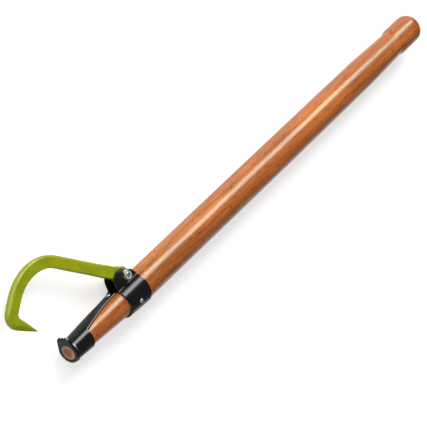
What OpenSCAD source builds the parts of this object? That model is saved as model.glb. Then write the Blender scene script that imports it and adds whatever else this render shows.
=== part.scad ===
// Cant hook: a tapered wooden handle with a serrated steel toe and a forged swinging hook.
// X runs up the handle from the toe face, Y points to the hook's side, Z is the pivot's axis.
// All lengths are in millimetres and all angles in degrees.

/* [Handle] */
// Length of the wooden handle
handle_len = 1219; // [1000:1:1600]
// Diameter of the full part of the handle
handle_d = 63.5; // [56:0.5:72]
// Diameter that the toe's taper would have at the toe face
toe_d = 37; // [35:0.5:44]
// Length of the toe's taper
taper_len = 236; // [225:1:320]
// Diameter of the tenon in the toe plate
tenon_d = 30.8; // [24:0.2:33]
// Diameter where the slim neck begins
hip_d = 61.2; // [58:0.2:63]
// Smallest diameter of the neck
neck_d = 52.6; // [46:0.2:56]
// Diameter of the knob at the butt
knob_d = 58.4; // [57:0.2:64]
// Length of the gentle taper before the neck
belly_len = 430; // [200:5:500]
// Length of the neck
neck_len = 112; // [60:1:160]
// Length of the cove between the neck and the knob
cove_len = 14; // [8:1:24]
// Length of the knob with its domed end
knob_len = 73; // [50:1:110]
// Length of the domed end
dome_len = 24; // [12:1:34]

/* [Toe] */
// Thickness of the toe plate
plate_t = 6; // [4:0.5:10]
// Height of the teeth's tips above the handle's axis
plate_reach = 31; // [28:0.5:40]
// Number of teeth
tooth_count = 4; // [3:1:5]
// Distance between the teeth
tooth_pitch = 7.2; // [5:0.1:8]
// Depth of the teeth
tooth_depth = 3.6; // [2:0.2:4]
// Width of the flat on a tooth's tip
tooth_flat = 0.8; // [0.4:0.1:2]
// Wall of the toe sleeve and its strap
sleeve_wall = 3; // [2:0.2:4]
// Length of the sleeve's ring
ring_len = 46; // [35:1:60]
// Width of the strap between the ears
strap_w = 18.4; // [12:0.2:18.8]
// Width of the strap where it leaves the ring
strap_root_w = 34; // [24:0.5:36]
// Length over which the strap narrows
strap_flare_len = 65; // [30:1:80]
// Length of the strap above the ring
strap_len = 118; // [108:1:122]
// Radius of the corners between the strap and the ring
strap_corner_r = 4; // [2:0.5:4]

/* [Collar] */
// Distance from the toe face to the collar
collar_x = 161; // [156:1:172]
// Length of the collar along the handle
collar_len = 61; // [58:1:74]
// Thickness of the collar's steel
collar_t = 3.2; // [2.4:0.2:5]
// Gap between the collar's toe edge and the wood
collar_toe_gap = 0.7; // [0.2:0.1:2.5]
// Radius of the bend between the band and each ear
ear_bend_r = 4; // [2:0.5:6]
// Radius of the ears
ear_r = 20.5; // [19.5:0.5:22]
// Distance from the ears' round top to the pivot, towards the butt
ear_lead = 10.5; // [8:0.5:12]
// Distance from the ears' round top to the pivot, away from the handle
ear_drop = 4; // [2:0.5:6]
// Fall of the ears' edge from their round top towards the butt
ear_fall = 11.5; // [8:0.5:14]
// Step in from the collar's edges to the foot of the ears
ear_foot_inset = 0.4; // [0.2:0.2:4]

/* [Hook] */
// Thickness of the hook's eye across the ears
hook_t = 20; // [18:0.5:23]
// Thickness of the hook's bar
bar_t = 13; // [10:0.5:17]
// Distance from the pivot to where the arm begins to thin
thin_start = 36; // [28:1:50]
// Distance from the pivot to where the arm is as thin as the bar
thin_end = 64; // [55:1:120]
// Direction of the hook's arm, from the way to the butt
arm_angle = 138.5; // [110:0.5:150]
// Length of the straight arm from the pivot
arm_len = 170; // [150:1:200]
// Width of the arm
arm_w = 24; // [19:0.5:28]
// Radius of the big bend on the bar's centre line
bend_r = 94; // [70:1:120]
// Angle that the big bend turns
bend_turn = 82.5; // [70:0.5:90]
// Width of the bar after the bend
shank_w = 26.5; // [18:0.5:28]
// Length of the straight shank before the heel
shank_len = 29; // [15:1:60]
// Radius of the heel on the bar's centre line
heel_r = 13.5; // [12:0.5:20]
// Radius of the heel's inner corner
heel_inner_r = 6; // [3:0.5:7]
// Angle that the heel turns
heel_turn = 91; // [75:1:100]
// Width of the point at the heel
point_w = 24; // [18:0.5:27]
// Length of the point
point_len = 59; // [48:1:75]
// Fullness of the point: 1 is a plain wedge, more keeps it thick for longer
point_swell = 1.3; // [1:0.05:2]
// Width of the point at its tip
tip_w = 1.2; // [0.8:0.1:4]
// Thickness of the point at its tip
tip_t = 2.4; // [1:0.1:6]
// Chamfer along the bar's outer edges
outer_chamfer = 4; // [1:0.1:4.6]
// Chamfer along the bar's inner edges
inner_chamfer = 1.8; // [1:0.1:4]
// Share of the width and thickness that the chamfers take at the tip
tip_facet = 0.42; // [0.2:0.01:0.45]
// Diameter of the eye
eye_d = 32; // [30:0.5:35]
// Chamfer round the eye
eye_chamfer = 1.6; // [0.5:0.1:3]

/* [Pivot] */
// Distance from the collar's toe edge to the pivot
pivot_along = 32; // [28:0.5:36]
// Space between the hook's eye and the wood
eye_play = 1.2; // [0.8:0.1:4]
// Space between the hook and each ear
side_play = 0.7; // [0.4:0.1:1.5]
// Diameter of the pivot bolt
bolt_d = 12; // [10:0.5:14]
// Size of the bolt head and the nut across the flats
hex_af = 19; // [17:0.5:22]
// Height of the bolt head
head_h = 7.5; // [5:0.5:10]
// Height of the nut's hexagon
nut_h = 8.6; // [6:0.2:12]
// Height of the round crown on the nut
crown_h = 3.4; // [2.6:0.2:5]
// Wall of the crown round the nylon ring
crown_wall = 0.8; // [0.5:0.1:1]
// Height of the nylon ring
insert_h = 2.4; // [1.6:0.2:2.4]
// Length of bolt that stands out of the nut
bolt_over = 0; // [0:0.2:6]

/* [Screws] */
// Diameter of the screws' shanks
screw_d = 4.4; // [3:0.2:6]
// Diameter of the screws' heads
screw_head_d = 8.6; // [7:0.2:11]
// Height of the screws' heads
screw_head_h = 2.6; // [1.5:0.1:4]
// Length of the screws' shanks
screw_len = 20; // [12:1:24]
// Distance from the toe face to the strap's screw
strap_screw_x = 147; // [130:1:150]
// Distance from the collar's toe edge to its screws
collar_screw_along = 29; // [15:1:45]
// Angle of the collar's screws round the handle from the hook's side
collar_screw_angle = 108; // [80:1:140]

/* [Fits] */
// Gap between pieces that sit on each other
seat_gap = 0.15; // [0.1:0.05:0.3]
// Radial play of the hook on the bolt
bore_play = 0.05; // [0.02:0.01:0.1]
// Radial play of the bolt in the ears and of the screws in their holes
hole_play = 0.1; // [0.05:0.05:0.3]
// Radial play of the bolt in the nut and its ring
thread_play = 0.03; // [0.02:0.01:0.06]

/* [Hidden] */
$fn = 96;

// Finishes
wood_colour = [0.72, 0.36, 0.13];
black_colour = [0.06, 0.06, 0.06];
lime_colour = [0.66, 0.72, 0.05];
zinc_colour = [0.78, 0.79, 0.80];
nylon_colour = [0.90, 0.90, 0.86];

// Steps in the curves of the handle's end, the hook's bends and the screw heads
curve_steps = 12;
bend_steps = 20;
heel_steps = 14;
point_steps = 6;
dome_steps = 8;
corner_steps = 6;
ear_bend_steps = 6;

// Small edges on the wood, the ears and the fasteners
tenon_chamfer = 0.8;
butt_flat_d = 12;
ear_heel_step = 1;
hex_slope = 30;
screw_taper_len = 6;
screw_tip_d = 1.2;
// How far the strap's round corners run into the ring, and the ears' bends into the steel
corner_lap = 0.1;
bend_lap = 0.06;
// A length past any piece, for cuts that go right through
past = 400;

// Places along the handle
shoulder_x = plate_t + seat_gap;
ring_end = plate_t + ring_len;
strap_end = ring_end + strap_len;
collar_end = collar_x + collar_len;
dome_start = handle_len - dome_len;
knob_start = handle_len - knob_len;
cove_start = knob_start - cove_len;
neck_start = cove_start - neck_len;
belly_start = neck_start - belly_len;

// The wood's radius on the toe's taper, and the slope of that taper
function mix(a, b, f) = a + (b - a) * f;
function wood_r(x) = mix(toe_d / 2, handle_d / 2, min(1, x / taper_len));
taper_angle = atan((handle_d - toe_d) / 2 / taper_len);
function sleeve_in_r(x) = wood_r(x) + seat_gap;
function sleeve_out_r(x) = sleeve_in_r(x) + sleeve_wall;

// The collar: a band that opens a little from the wood towards the toe, and its two ears
ear_in_z = hook_t / 2 + side_play;
ear_out_z = ear_in_z + collar_t;
band_toe_r = wood_r(collar_x) + collar_toe_gap;
band_top_r = wood_r(collar_end) + seat_gap;
band_angle = atan((band_top_r - band_toe_r) / collar_len);
function band_in_r(x) = mix(band_toe_r, band_top_r, (x - collar_x) / collar_len);
function band_out_r(x) = band_in_r(x) + collar_t;
function ear_foot(x) = [x, sqrt(pow(band_out_r(x), 2) - pow(ear_out_z, 2))];

// The pivot, and the centres of the ears' round top and round heel
pivot_x = collar_x + pivot_along;
pivot_y = wood_r(pivot_x) + eye_d / 2 + eye_play;
pivot = [pivot_x, pivot_y];
ear_centre = pivot - [ear_lead, ear_drop];
ear_feet = [ear_foot(collar_x + ear_foot_inset), ear_foot(collar_end - ear_foot_inset)];
ear_heel = [ear_feet[1][0] - ear_r - ear_heel_step, ear_centre[1] - ear_fall];

// The path of the hook's centre line
function ahead(a) = [cos(a), sin(a)];
function inward(a) = [-sin(a), cos(a)];
shank_angle = arm_angle + bend_turn;
point_angle = shank_angle + heel_turn;
arm_end = pivot + arm_len * ahead(arm_angle);
bend_centre = arm_end + bend_r * inward(arm_angle);
shank_start = bend_centre - bend_r * inward(shank_angle);
shank_end = shank_start + shank_len * ahead(shank_angle);
heel_centre = shank_end + heel_r * inward(shank_angle);
point_start = heel_centre - heel_r * inward(point_angle);

// The centre of the heel's inner corner, on the lines that lie its radius inside the bar's inner edges
heel_cos = cos(heel_turn);
shank_reach = shank_w / 2 + heel_inner_r - heel_r;
point_reach = point_w / 2 + heel_inner_r - heel_r;
heel_inner_centre = heel_centre
    + (shank_reach - heel_cos * point_reach) / (1 - heel_cos * heel_cos) * inward(shank_angle)
    + (point_reach - heel_cos * shank_reach) / (1 - heel_cos * heel_cos) * inward(point_angle);

// A section's outer and inner point, thickness and share of facet
function smooth(f) = f * f * (3 - 2 * f);
function section_at(place, a, w, t, facet) =
    [place - w / 2 * inward(a), place + w / 2 * inward(a), t, facet];
function arm_section(along, t) = section_at(pivot + along * ahead(arm_angle), arm_angle, arm_w, t, 0);
function bend_section(f) =
    let (a = arm_angle + bend_turn * f)
    section_at(bend_centre - bend_r * inward(a), a, mix(arm_w, shank_w, smooth(f)), bar_t, 0);
function heel_section(f) =
    let (
        a = shank_angle + heel_turn * f,
        outer_r = heel_r + mix(shank_w, point_w, smooth(f)) / 2
    )
    [heel_centre - outer_r * inward(a), heel_inner_centre - heel_inner_r * inward(a), bar_t, 0];
function point_section(f) =
    let (
        place = point_start + point_len * f * ahead(point_angle),
        slim = pow(f, point_swell)
    )
    section_at(place, point_angle, mix(point_w, tip_w, slim), mix(bar_t, tip_t, slim), f);
hook_sections = concat(
    [arm_section(0, hook_t), arm_section(thin_start, hook_t), arm_section(thin_end, bar_t)],
    [for (i = [0:bend_steps]) bend_section(i / bend_steps)],
    [for (i = [0:heel_steps]) heel_section(i / heel_steps)],
    [for (i = [1:point_steps]) point_section(i / point_steps)]
);

// The eight corners of a section with chamfered edges
function section_corners(s) =
    let (
        width = norm(s[1] - s[0]),
        side = (s[1] - s[0]) / width,
        half_t = s[2] / 2,
        facet_w = tip_facet * width,
        facet_t = tip_facet * s[2],
        out_w = mix(outer_chamfer, facet_w, s[3]),
        out_t = mix(outer_chamfer, facet_t, s[3]),
        in_w = mix(inner_chamfer, facet_w, s[3]),
        in_t = mix(inner_chamfer, facet_t, s[3]),
        outline = [
            [width, half_t - in_t],
            [width - in_w, half_t],
            [out_w, half_t],
            [0, half_t - out_t],
            [0, out_t - half_t],
            [out_w, -half_t],
            [width - in_w, -half_t],
            [width, in_t - half_t],
        ]
    )
    [for (c = outline) [s[0][0] + c[0] * side[0], s[0][1] + c[0] * side[1], c[1]]];

// Points of a tangent's foot on a circle, and of a quarter of an ellipse
function tangent_angle(from, centre, r, turn) =
    let (away = from - centre)
    atan2(away[1], away[0]) + turn * acos(r / norm(away));
function tangent_point(from, centre, r, turn) =
    centre + r * ahead(tangent_angle(from, centre, r, turn));
function dome(r, h, steps) = [for (i = [0:steps]) [r * cos(90 * i / steps), h * sin(90 * i / steps)]];

// Turns a solid along Z to lie along the handle, and the hexagons and cones made from it
module along_handle() rotate([0, 90, 0]) children();
module hex_prism(af, h) cylinder(d = af / cos(30), h = h, $fn = 6);

module cone_along(r_of_start, r_of_end, from, to)
    translate([from, 0, 0])
    along_handle()
    cylinder(r1 = r_of_start, r2 = r_of_end, h = to - from);

// A round-headed wood screw, with its head's flat face at z = 0 and its tip below
module wood_screw() {
    shank_r = screw_d / 2;
    tip_r = screw_tip_d / 2;
    head_dome = dome(screw_head_d / 2, screw_head_h, dome_steps);
    rotate_extrude()
        polygon(concat(
            [[0, -screw_len], [tip_r, -screw_len], [shank_r, screw_taper_len - screw_len], [shank_r, 0]],
            head_dome
        ));
}

// The hole that takes a screw's shank, from above its head's seat to past its tip
module screw_hole()
    translate([0, 0, -screw_len - hole_play])
    cylinder(d = screw_d + 2 * hole_play, h = 2 * screw_len);

// Places of the screws: square to the strap's slope, and round the collar
module at_strap_screw()
    translate([strap_screw_x, sleeve_out_r(strap_screw_x) + seat_gap, 0])
    rotate([0, 0, taper_angle])
    rotate([-90, 0, 0])
    children();

module at_collar_screws()
    for (side = [-1, 1])
        translate([collar_x + collar_screw_along, 0, 0])
            rotate([side * collar_screw_angle, 0, 0])
            translate([0, band_out_r(collar_x + collar_screw_along) + seat_gap, 0])
            rotate([0, 0, band_angle])
            rotate([-90, 0, 0])
            children();

// The handle's outline as radius and place: tenon, taper, body, neck, cove and knob
handle_outline = concat(
    [
        [0, 0],
        [tenon_d / 2 - tenon_chamfer, 0],
        [tenon_d / 2, tenon_chamfer],
        [tenon_d / 2, shoulder_x],
        [wood_r(shoulder_x), shoulder_x],
        [handle_d / 2, taper_len],
    ],
    [for (i = [0:curve_steps]) let (f = i / curve_steps)
        [mix(handle_d, hip_d, 1 - cos(90 * f)) / 2, mix(belly_start, neck_start, f)]],
    [for (i = [1:curve_steps]) let (f = i / curve_steps)
        [mix(hip_d, neck_d, 1 - cos(90 * f)) / 2, mix(neck_start, cove_start, f)]],
    [for (i = [1:curve_steps]) let (f = i / curve_steps)
        [mix(neck_d, knob_d, smooth(f)) / 2, mix(cove_start, knob_start, f)]],
    [for (i = [0:curve_steps - 1]) let (f = i / curve_steps)
        [mix(butt_flat_d, knob_d, cos(90 * f)) / 2, dome_start + dome_len * sin(90 * f)]],
    [
        [butt_flat_d / 2, handle_len],
        [0, handle_len],
    ]
);

module handle() {
    color(wood_colour)
    difference() {
        along_handle() rotate_extrude() polygon(handle_outline);
        at_strap_screw() screw_hole();
        at_collar_screws() screw_hole();
    }
}

// One edge of the strap seen along Y: from inside the ring, round the corner and up to the end
flare_slope = (strap_root_w - strap_w) / 2 / strap_flare_len;
flare_angle = atan(flare_slope);
corner_x = ring_end + strap_corner_r - corner_lap;
corner_z = strap_root_w / 2 - flare_slope * (corner_x - ring_end) + strap_corner_r / cos(flare_angle);
strap_edge = concat(
    [[shoulder_x, corner_z]],
    [for (i = [0:corner_steps]) let (a = mix(180, 270 - flare_angle, i / corner_steps))
        [corner_x, corner_z] + strap_corner_r * ahead(a)],
    [
        [ring_end + strap_flare_len, strap_w / 2],
        [strap_end, strap_w / 2],
    ]
);
strap_outline = concat(strap_edge, [for (i = [len(strap_edge) - 1:-1:0]) [strap_edge[i][0], -strap_edge[i][1]]]);

module toe_sleeve() {
    color(black_colour)
    difference() {
        cone_along(sleeve_out_r(plate_t), sleeve_out_r(strap_end), plate_t, strap_end);
        cone_along(sleeve_in_r(plate_t - 1), sleeve_in_r(strap_end + 1), plate_t - 1, strap_end + 1);
        difference() {
            translate([ring_end, -past / 2, -past / 2]) cube(past);
            rotate([-90, 0, 0]) linear_extrude(height = past) polygon(strap_outline);
        }
        at_strap_screw() screw_hole();
    }
}

// The plate's outline seen along X, as height towards the hook and width
tooth_row = tooth_count * tooth_pitch;
root_y = plate_reach - tooth_depth;
plate_r = sleeve_out_r(plate_t);
plate_corner = [root_y, tooth_row / 2];
plate_tangent = tangent_point(plate_corner, [0, 0], plate_r, 1);
teeth_points = [
    for (i = [0:tooth_count - 1])
        let (middle = tooth_row / 2 - tooth_pitch * (i + 0.5))
        each [
            [root_y, middle + tooth_pitch / 2],
            [plate_reach, middle + tooth_flat / 2],
            [plate_reach, middle - tooth_flat / 2],
        ]
];

// Turns a shape drawn in Y and Z, and pulled up from it, to lie along the handle
module end_view() multmatrix([[0, 0, 1, 0], [1, 0, 0, 0], [0, 1, 0, 0], [0, 0, 0, 1]]) children();

module toe_plate() {
    color(black_colour)
    end_view()
    difference() {
        union() {
            cylinder(r = plate_r, h = plate_t);
            linear_extrude(height = plate_t)
                polygon(concat(
                    [[0, 0], plate_tangent],
                    teeth_points,
                    [[root_y, -tooth_row / 2], [plate_tangent[0], -plate_tangent[1]]]
                ));
        }
        translate([0, 0, -1]) cylinder(r = tenon_d / 2 + seat_gap, h = plate_t + 2);
    }
}

module strap_screw() {
    color(zinc_colour) at_strap_screw() wood_screw();
}

// One ear's outline seen along Z: a round top, an edge that falls to a round heel, and its two feet
module ear_plan(h) {
    along = (ear_heel - ear_centre) / norm(ear_heel - ear_centre);
    edge = ear_r * [-along[1], along[0]];
    for (place = [ear_centre, ear_heel]) translate([place[0], place[1], 0]) cylinder(r = ear_r, h = h);
    linear_extrude(height = h)
        polygon([
            [ear_feet[0][0], 0],
            ear_feet[0],
            tangent_point(ear_feet[0], ear_centre, ear_r, -1),
            ear_centre + edge,
            ear_heel + edge,
            tangent_point(ear_feet[1], ear_heel, ear_r, 1),
            ear_feet[1],
            [ear_feet[1][0], 0],
        ]);
}

// The bend seen along X: an arc that leaves the ear's face and meets the band, as height and width
function bend_middle(x) =
    let (
        reach = band_out_r(x) + ear_bend_r - bend_lap,
        z = ear_out_z + ear_bend_r - bend_lap
    )
    [sqrt(reach * reach - z * z), z];
bend_start = bend_middle(collar_x);
bend_rise = atan((bend_middle(collar_end)[0] - bend_start[0]) / collar_len);
bend_last = 180 + atan2(bend_start[1], bend_start[0]);
bend_arc = [
    for (i = [0:ear_bend_steps])
        bend_start + ear_bend_r * ahead(mix(270, bend_last, i / ear_bend_steps))
];
bend_inside = [
    bend_arc[ear_bend_steps] * (1 - collar_t / 2 / norm(bend_start)),
    [bend_start[0], ear_out_z - collar_t / 2],
];

module ear_bend()
    translate([collar_x, 0, 0])
    rotate([0, 0, bend_rise])
    translate([-collar_t, 0, 0])
    end_view()
    linear_extrude(height = collar_len + 2 * collar_t)
    polygon(concat(bend_arc, bend_inside));

module ear() {
    intersection() {
        union() {
            translate([collar_x, 0, ear_in_z]) cube([collar_len, past, collar_t]);
            ear_bend();
        }
        ear_plan(ear_out_z + ear_bend_r);
    }
}

module collar() {
    color(black_colour)
    difference() {
        union() {
            cone_along(band_out_r(collar_x), band_out_r(collar_end), collar_x, collar_end);
            for (side = [0, 1]) mirror([0, 0, side]) ear();
        }
        cone_along(band_in_r(collar_x - 1), band_in_r(collar_end + 1), collar_x - 1, collar_end + 1);
        translate([collar_x - 1, 0, -ear_in_z]) cube([collar_len + 2, past, 2 * ear_in_z]);
        translate([pivot_x, pivot_y, -past]) cylinder(d = bolt_d + 2 * hole_play, h = 2 * past);
        at_collar_screws() screw_hole();
    }
}

module collar_screws() {
    color(zinc_colour) at_collar_screws() wood_screw();
}

// The forged bar: sections along the path, closed at the eye and at the tip
module hook_bar() {
    corners = 8;
    last = len(hook_sections) - 1;
    points = [for (s = hook_sections) each section_corners(s)];
    sides = [
        for (i = [0:last - 1], j = [0:corners - 1])
            let (
                a = i * corners + j,
                b = i * corners + (j + 1) % corners
            )
            each [[a, b + corners, b], [a, a + corners, b + corners]]
    ];
    start_cap = [for (j = [0:corners - 1]) j];
    tip_cap = [for (j = [corners - 1:-1:0]) last * corners + j];
    polyhedron(points = points, faces = concat([start_cap], sides, [tip_cap]));
}

module hook_eye() {
    r = eye_d / 2;
    half = hook_t / 2;
    translate([pivot_x, pivot_y, 0])
        rotate_extrude()
        polygon([
            [0, -half],
            [r - eye_chamfer, -half],
            [r, eye_chamfer - half],
            [r, half - eye_chamfer],
            [r - eye_chamfer, half],
            [0, half],
        ]);
}

module hook() {
    color(lime_colour)
    difference() {
        union() {
            hook_bar();
            hook_eye();
        }
        translate([pivot_x, pivot_y, -hook_t]) cylinder(d = bolt_d + 2 * bore_play, h = 2 * hook_t);
    }
}

// A hexagon whose corners are chamfered on its far face
module chamfered_hex(af, h) {
    corner_r = af / cos(30) / 2;
    drop = (corner_r - af / 2) * tan(hex_slope);
    intersection() {
        hex_prism(af, h);
        rotate_extrude() polygon([[0, 0], [corner_r, 0], [corner_r, h - drop], [af / 2, h], [0, h]]);
    }
}

bolt_end_z = ear_out_z + nut_h + crown_h + bolt_over;

module pivot_bolt() {
    color(zinc_colour)
    translate([pivot_x, pivot_y, 0]) {
        translate([0, 0, -ear_out_z]) mirror([0, 0, 1]) chamfered_hex(hex_af, head_h);
        translate([0, 0, -ear_out_z]) cylinder(d = bolt_d, h = ear_out_z + bolt_end_z);
    }
}

// The lock nut's crown is a thin cup round the nylon ring, turned in a little at its rim
insert_r = hex_af / 2 - 2 * crown_wall;
insert_z = nut_h + (crown_h - insert_h) / 2;

module pivot_nut() {
    bore_r = bolt_d / 2 + thread_play;
    color(zinc_colour)
    translate([pivot_x, pivot_y, ear_out_z])
    difference() {
        union() {
            chamfered_hex(hex_af, nut_h);
            translate([0, 0, nut_h - seat_gap]) cylinder(r = insert_r + crown_wall, h = crown_h + seat_gap);
        }
        translate([0, 0, -1]) cylinder(r = bore_r, h = nut_h + crown_h + 2);
        translate([0, 0, insert_z - seat_gap]) cylinder(r = insert_r + thread_play, h = insert_h + 2 * seat_gap);
        translate([0, 0, insert_z]) cylinder(r = insert_r - crown_wall / 2, h = crown_h);
    }
}

module nut_insert() {
    color(nylon_colour)
    translate([pivot_x, pivot_y, ear_out_z + insert_z])
    difference() {
        cylinder(r = insert_r, h = insert_h);
        translate([0, 0, -1]) cylinder(r = bolt_d / 2 + thread_play, h = insert_h + 2);
    }
}

handle();
toe_sleeve();
toe_plate();
strap_screw();
collar();
collar_screws();
hook();
pivot_bolt();
pivot_nut();
nut_insert();
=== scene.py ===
import math

import bmesh
import bpy
from mathutils import Matrix, Vector


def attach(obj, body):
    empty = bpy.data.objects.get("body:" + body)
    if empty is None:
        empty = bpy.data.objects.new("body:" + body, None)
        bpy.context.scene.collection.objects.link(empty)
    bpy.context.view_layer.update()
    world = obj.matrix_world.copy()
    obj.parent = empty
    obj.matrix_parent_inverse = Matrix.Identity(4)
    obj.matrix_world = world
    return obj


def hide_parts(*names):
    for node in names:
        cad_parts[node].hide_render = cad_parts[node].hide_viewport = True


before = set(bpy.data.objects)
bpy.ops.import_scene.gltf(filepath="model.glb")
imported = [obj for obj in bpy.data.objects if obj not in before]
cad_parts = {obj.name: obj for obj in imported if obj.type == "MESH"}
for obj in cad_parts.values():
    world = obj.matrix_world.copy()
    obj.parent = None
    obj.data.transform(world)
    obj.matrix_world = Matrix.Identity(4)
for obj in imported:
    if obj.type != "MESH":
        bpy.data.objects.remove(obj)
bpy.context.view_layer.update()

# Lengths are in millimetres until a piece is finished, which puts it in metres.
MM = 0.001
FULL_TURN = 2 * math.pi
NEAR = 0.01
MERGE_DIST = 0.0005

# The wooden handle
HANDLE_LEN = 1219
HANDLE_R = 31.75
TOE_R = 18.5
TAPER_LEN = 236
TENON_R = 15.4
TENON_CHAMFER = 0.8
HIP_R = 30.8
NECK_R = 27.1
KNOB_R = 30.2
BUTT_FLAT_R = 6
BELLY_START = 590
NECK_START = 1020
COVE_START = 1132
KNOB_START = 1146
DOME_START = 1195
TAPER_RINGS_FROM = 30
TAPER_RINGS_END = TAPER_LEN - 12
SHOULDER_START = TAPER_LEN - 4
SHOULDER_FALL = 0.05
SHOULDER_END = TAPER_LEN + 8
POLE_RINGS_FROM = TAPER_LEN + 40
POLE_RINGS_END = BELLY_START - 30
STRAIGHT_RINGS = 8
CURVE_RINGS = 16
COVE_RINGS = 12
HANDLE_STEPS = 128

# The toe plate, the sleeve, its strap and the weld
PLATE_T = 6
PLATE_STEPS = 44
PLATE_FLANK_STOPS = (0.34, 0.67)
PLATE_EASE = 0.2
SEAT_GAP = 0.15
TEETH = 4
TOOTH_PITCH = 7.2
TOOTH_FLAT = 0.8
TOOTH_TIP_Y = 31
TOOTH_ROOT_Y = 27.4
TOOTH_GAP_Y = 25.6
SLEEVE_WALL = 3
SLEEVE_RINGS = 6
SLEEVE_EASE = 0.8
RING_END = 52
STRAP_END = 170
STRAP_HALF = 9.2
STRAP_FLARE_END = 117
STRAP_CORNER_R = 4
STRAP_CORNER_END = math.radians(264)
CORNER_ROWS = 7
FLARE_ROWS = 8
STRAP_ROWS = 6
RING_STEPS = 96
STRAP_COLUMNS = 15
STRAP_EDGE_W = 1.5
STRAP_EDGE_FALL = 1.11
WELD_R = 1.5
WELD_FORWARD = 0.9
WELD_RISE = 0.1
WELD_SIDES = 10
WELD_RIPPLES = 44
STEPS_PER_RIPPLE = 5
RIPPLE_SWELL = 0.16
WAVE_SWELL = 0.10
WAVES = 7
# Arcs of the bead, in degrees round the sleeve, given bare zinc instead of black paint: a painted
# highlight standing in for the bead's glint there
WELD_GLINT_ARCS = ((38, 66), (74, 80))

# The collar and its ears
COLLAR_X = 161
COLLAR_END = 222
COLLAR_T = 3.2
COLLAR_TOE_GAP = 0.7
EAR_Z = 13.9
EAR_BEND_R = 4
EAR_R = 20.5
EAR_TOP = Vector((182.5, 42.536))
EAR_HEEL = Vector((200.1, 31.036))
EAR_EDGE_INSET = 0.4
EAR_HOLE_GAP = 0.1
FOOT_COLUMNS = 18
EAR_HEEL_STEPS = 8
EAR_EDGE_STEPS = 9
EAR_TOP_STEPS = 22
EAR_BEND_STEPS = 8
BAND_STEPS = 30
COLLAR_EASE = 1.1

# The hook, its path and its sections
PIVOT = Vector((193, 46.536))
HOOK_T = 20
BAR_T = 13
THIN_START = 36
THIN_END = 64
ARM_ANGLE = math.radians(138.5)
ARM_LEN = 170
ARM_W = 24
BEND_R = 94
BEND_TURN = math.radians(82.5)
SHANK_W = 26.5
SHANK_LEN = 29
HEEL_R = 13.5
HEEL_INNER_R = 6.5
HEEL_TURN = math.radians(91)
POINT_W = 24
POINT_LEN = 59
POINT_SWELL = 1.3
POINT_FROM = 0.13
TIP_W = 1.2
TIP_T = 2.4
EYE_EDGE_R = 1.8
OUTER_CUT = 3.7
INNER_CUT = 1.9
OUTER_FLATNESS = 0.6
TIP_FACET = 0.42
OUTER_FACET_W = 0.58
INNER_FACET_W = 0.34
HEEL_FACET = 0.5
HEEL_FACET_START = 0.4
FACET_GROWTH = 0.7
SIDE_SLOPE = 0.10
SIDE_SLOPE_PIVOT = 0.5
ARM_LEAN = 0.5
SHANK_LEAN = -1
POINT_LEAN = 1
EYE_R = 16
EYE_FILLET_R = 7
EYE_BORE_R = 6.05
ARM_FROM = 34
SIDE_STRIPS = 6
EDGE_STEPS = 5
FILLET_STEPS = 5
EYE_STEPS = 40
THIN_ROWS = 9
ARM_ROWS = 4
BEND_ROWS = 36
HEEL_ROWS = 18
POINT_ROWS = 16

# The bolt, the lock nut with its ring, and the screws
BOLT_R = 6
BOLT_TIP = ((1, 0), (0.2, 0.9), (0, 1.2))
BOLT_EASE = 0.25
HEX_STEPS = 72
HEX_FLAT_R = 9.5
HEX_MARK_R = 11
HEAD_H = 7.5
HEAD_TOP_R = HEX_FLAT_R - 0.6
WASHER_H = 0.5
WASHER_R = HEX_FLAT_R - 0.7
WASHER_FOOT_R = HEX_FLAT_R - 0.95
NUT_H = 8.6
NUT_LEAD = 0.9
NUT_FOOT_H = 0.4
NUT_FOOT_R = HEX_FLAT_R - 0.5
NUT_SEAT_R = HEX_FLAT_R - 0.75
NUT_EASE = 0.2
THREAD_GAP = 0.03
CROWN_R = 9.2
CROWN_H = 3.4
CROWN_EDGE = ((1.2, 0), (0.35, 0.35), (0, 1))
CROWN_LIP = 0.4
INSERT_R = 7.9
INSERT_Z = 9.1
INSERT_H = 2.4
INSERT_GAP = 0.1
INSERT_CHAMFER = 0.4
INSERT_LEAD = 0.5
INSERT_STEPS = 64
SCREW_R = 2.2
SCREW_HEAD_R = 4.3
SCREW_HEAD_H = 2.6
SCREW_LEN = 20
SCREW_TIP_R = 0.6
SCREW_TIP_LEN = 6
SCREW_RIM_EASE = 0.15
SCREW_RIM_H = 0.25
SCREW_DOME_Z = 0.3
SCREW_DOME_RADII = (4.1, 3.6, 3.0, 2.5, 2.1, 1.5, 0.9, 0.5, 0)
SCREW_STEPS = 32
RECESS_FROM_Z = 0.5
RECESS_R = 2.1
RECESS_CORE_R = 0.9
RECESS_HALF_ANGLE = math.radians(10)
RECESS_DEPTH = 1.1
RECESS_RISE = 0.25
STRAP_SCREW_X = 147
COLLAR_SCREW_X = 190
COLLAR_SCREW_ANGLE = math.radians(108)

# The floor's place, its size in metres, its tone and its glow, and the room's glow
FLOOR_Z = -34.6
FLOOR_HALF = 14
PAPER_TONE = 0.78
CAMERA_LIFT = 0.58
MIRROR_LIFT = 0.05
ROOM_GLOW = 0.15

# The values that a noise pattern mostly keeps to
NOISE_LOW = 0.3
NOISE_HIGH = 0.7


def mix(a, b, f):
    return a + (b - a) * f


def smooth(f):
    return f * f * (3 - 2 * f)


def steps_between(a, b, count):
    return [mix(a, b, i / count) for i in range(count + 1)]


def wood_r(x):
    return mix(TOE_R, HANDLE_R, min(1, x / TAPER_LEN))


def sleeve_r(x):
    return wood_r(x) + SEAT_GAP + SLEEVE_WALL


def band_r(x):
    toe = wood_r(COLLAR_X) + COLLAR_TOE_GAP
    top = wood_r(COLLAR_END) + SEAT_GAP
    return mix(toe, top, (x - COLLAR_X) / (COLLAR_END - COLLAR_X)) + COLLAR_T


def ahead(angle):
    return Vector((math.cos(angle), math.sin(angle)))


def inward(angle):
    return Vector((-math.sin(angle), math.cos(angle)))


# Node helpers for the finishes


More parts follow.
